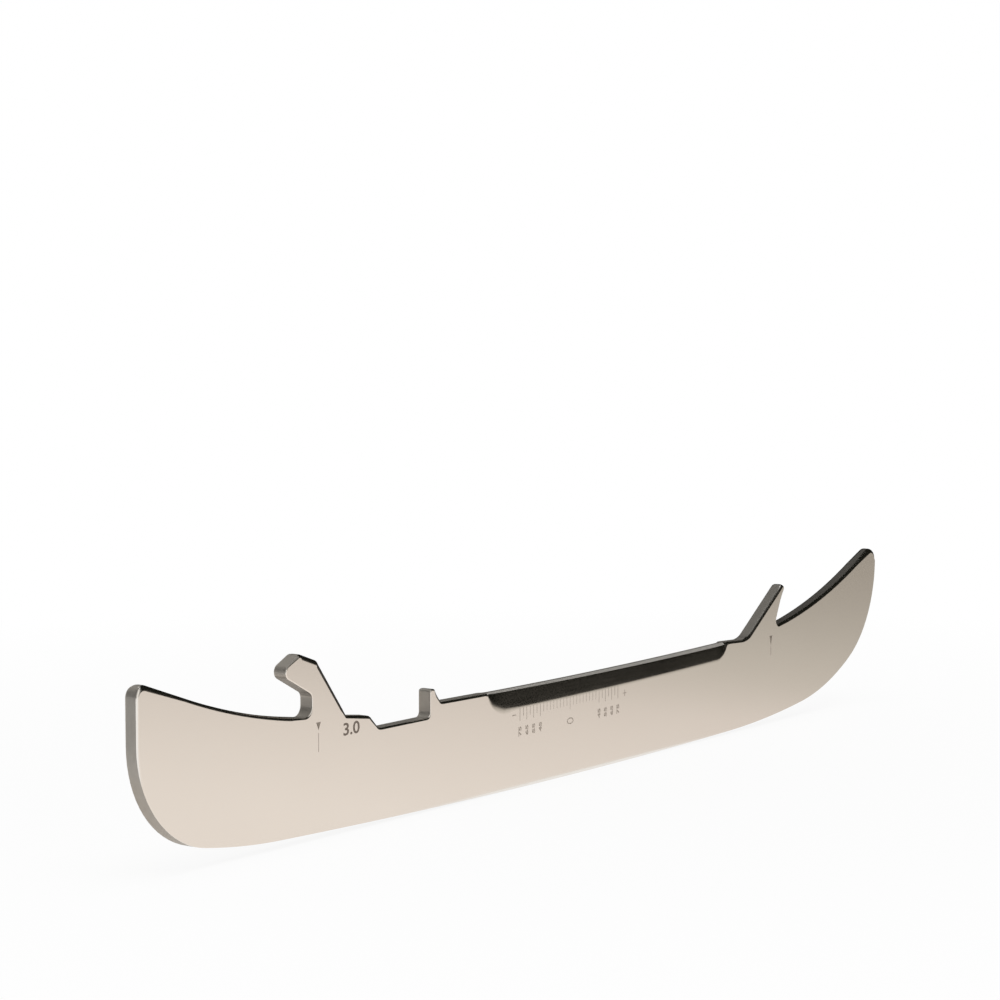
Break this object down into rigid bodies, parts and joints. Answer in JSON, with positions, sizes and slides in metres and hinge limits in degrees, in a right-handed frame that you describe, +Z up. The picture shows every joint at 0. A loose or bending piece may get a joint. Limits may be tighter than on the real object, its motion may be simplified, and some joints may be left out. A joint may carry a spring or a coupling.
{
  "type": "ice hockey skate runner",
  "caption": "Slim polished steel skate runner with a curved toe and heel, a rear hook, a latch tooth, a front tang and a hollow-ground rocker edge.",
  "frame": {"origin": "pivot of the rocker on the ice, midway along the length and across the thickness", "axes": "+X from heel to toe, +Z up, +Y across the thickness towards the left side"},
  "size_m": [0.263, 0.003, 0.037],
  "materials": {
    "steel": "polished"
  },
  "bodies": {
    "root": {"runner": "steel"}
  },
  "joints": []
}
